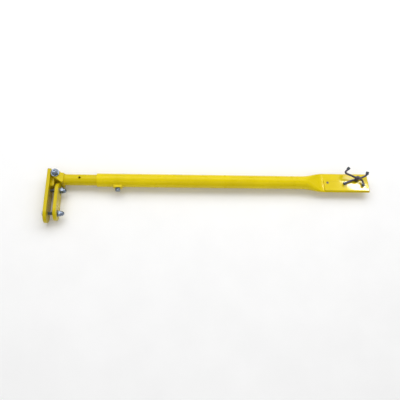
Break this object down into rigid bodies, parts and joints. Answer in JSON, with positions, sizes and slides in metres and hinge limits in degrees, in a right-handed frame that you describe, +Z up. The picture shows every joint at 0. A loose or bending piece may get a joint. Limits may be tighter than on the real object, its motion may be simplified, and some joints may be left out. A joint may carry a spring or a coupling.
{
  "type": "aircraft tow bar",
  "caption": "Telescoping tow bar with a pressed flat hitch end, crossed hooks, and a swivelling clamp head with two bolted jaws.",
  "frame": {"origin": "on the ground under the middle of the part's bounding box", "axes": "+X along the bar from the clamp head to the flat hitch end, +Y away from the jaws, +Z up"},
  "size_m": [1.2284, 0.2208, 0.0788],
  "materials": {
    "paint": "gloss yellow powder coat with orange peel, chipped at edges",
    "zinc": "bright zinc plate, slightly blue",
    "dark_steel": "dark oiled steel rod",
    "sleeve": "satin grey dipped sleeve",
    "nylon": "natural nylon",
    "brass": "turned brass"
  },
  "bodies": {
    "bar": {"outer_tube": "paint", "doubler_plate": "paint", "lock_boss": "paint", "doubler_rivet": "zinc", "hook_spacer": "zinc", "hook_stud": "zinc", "hook_nut": "dark_steel"},
    "guide": {"end_plug": "nylon", "guide_bush": "nylon"},
    "arm": {"inner_tube": "paint", "fork_bracket": "paint", "pivot_bolt": "zinc", "pivot_washer": "zinc", "pivot_nut": "zinc"},
    "head": {"knuckle": "paint", "pivot_bush": "brass", "fixed_jaw": "paint", "clamp_bolt_upper": "zinc", "clamp_bolt_lower": "zinc"},
    "jaw": {"moving_jaw": "paint", "nut_washer_upper": "zinc", "nut_washer_lower": "zinc"},
    "nut_upper": {"clamp_nut_upper": "zinc"},
    "nut_lower": {"clamp_nut_lower": "zinc"},
    "pad": {"lock_pad": "brass"},
    "screw": {"lock_screw": "zinc"},
    "hook_a": {"hook_a": "dark_steel", "hook_a_sleeve_start": "sleeve", "hook_a_sleeve_end": "sleeve"},
    "hook_b": {"hook_b": "dark_steel", "hook_b_sleeve_start": "sleeve", "hook_b_sleeve_end": "sleeve"}
  },
  "joints": [
    {"name": "telescope_slide", "type": "slide", "parent": "bar", "child": "guide", "axis": [-1, 0, 0], "range_m": [-0.1, 0.25]},
    {"name": "telescope_turn", "type": "hinge", "parent": "guide", "child": "arm", "pos_m": [-0.0188, 0.05912, 0.0325], "axis": [1, 0, 0], "range_deg": [-90, 90]},
    {"name": "head_swivel", "type": "hinge", "parent": "arm", "child": "head", "pos_m": [-0.5788, 0.07312, 0.0325], "axis": [0, 0, 1], "range_deg": [-90, 2]},
    {"name": "jaw_close", "type": "slide", "parent": "head", "child": "jaw", "axis": [-1, 0, 0], "range_m": [-0.003, 0.008]},
    {"name": "nut_upper_turn", "type": "hinge", "parent": "jaw", "child": "nut_upper", "pos_m": [-0.5735, 0.01412, 0.0325], "axis": [1, 0, 0], "range_deg": [-1700, 700]},
    {"name": "nut_lower_turn", "type": "hinge", "parent": "jaw", "child": "nut_lower", "pos_m": [-0.5735, -0.07588, 0.0325], "axis": [1, 0, 0], "range_deg": [-1700, 700]},
    {"name": "lock_travel", "type": "slide", "parent": "bar", "child": "pad", "axis": [0, -1, 0], "range_m": [0, 0.004]},
    {"name": "lock_turn", "type": "hinge", "parent": "pad", "child": "screw", "pos_m": [-0.3538, 0.05912, 0.0325], "axis": [0, -1, 0], "range_deg": [0, 830]},
    {"name": "hook_a_swivel", "type": "hinge", "parent": "bar", "child": "hook_a", "pos_m": [0.5652, 0.07012, 0.0325], "axis": [0, 0, 1], "range_deg": [-10, 10]},
    {"name": "hook_b_swivel", "type": "hinge", "parent": "bar", "child": "hook_b", "pos_m": [0.5652, 0.07012, 0.0325], "axis": [0, 0, 1], "range_deg": [-10, 10]}
  ],
  "couplings": [
    {"joint": "nut_upper_turn", "follows": "jaw_close", "rad_per_m": -3590.4},
    {"joint": "nut_lower_turn", "follows": "jaw_close", "rad_per_m": -3590.4},
    {"joint": "lock_turn", "follows": "lock_travel", "rad_per_m": 3590.4}
  ]
}
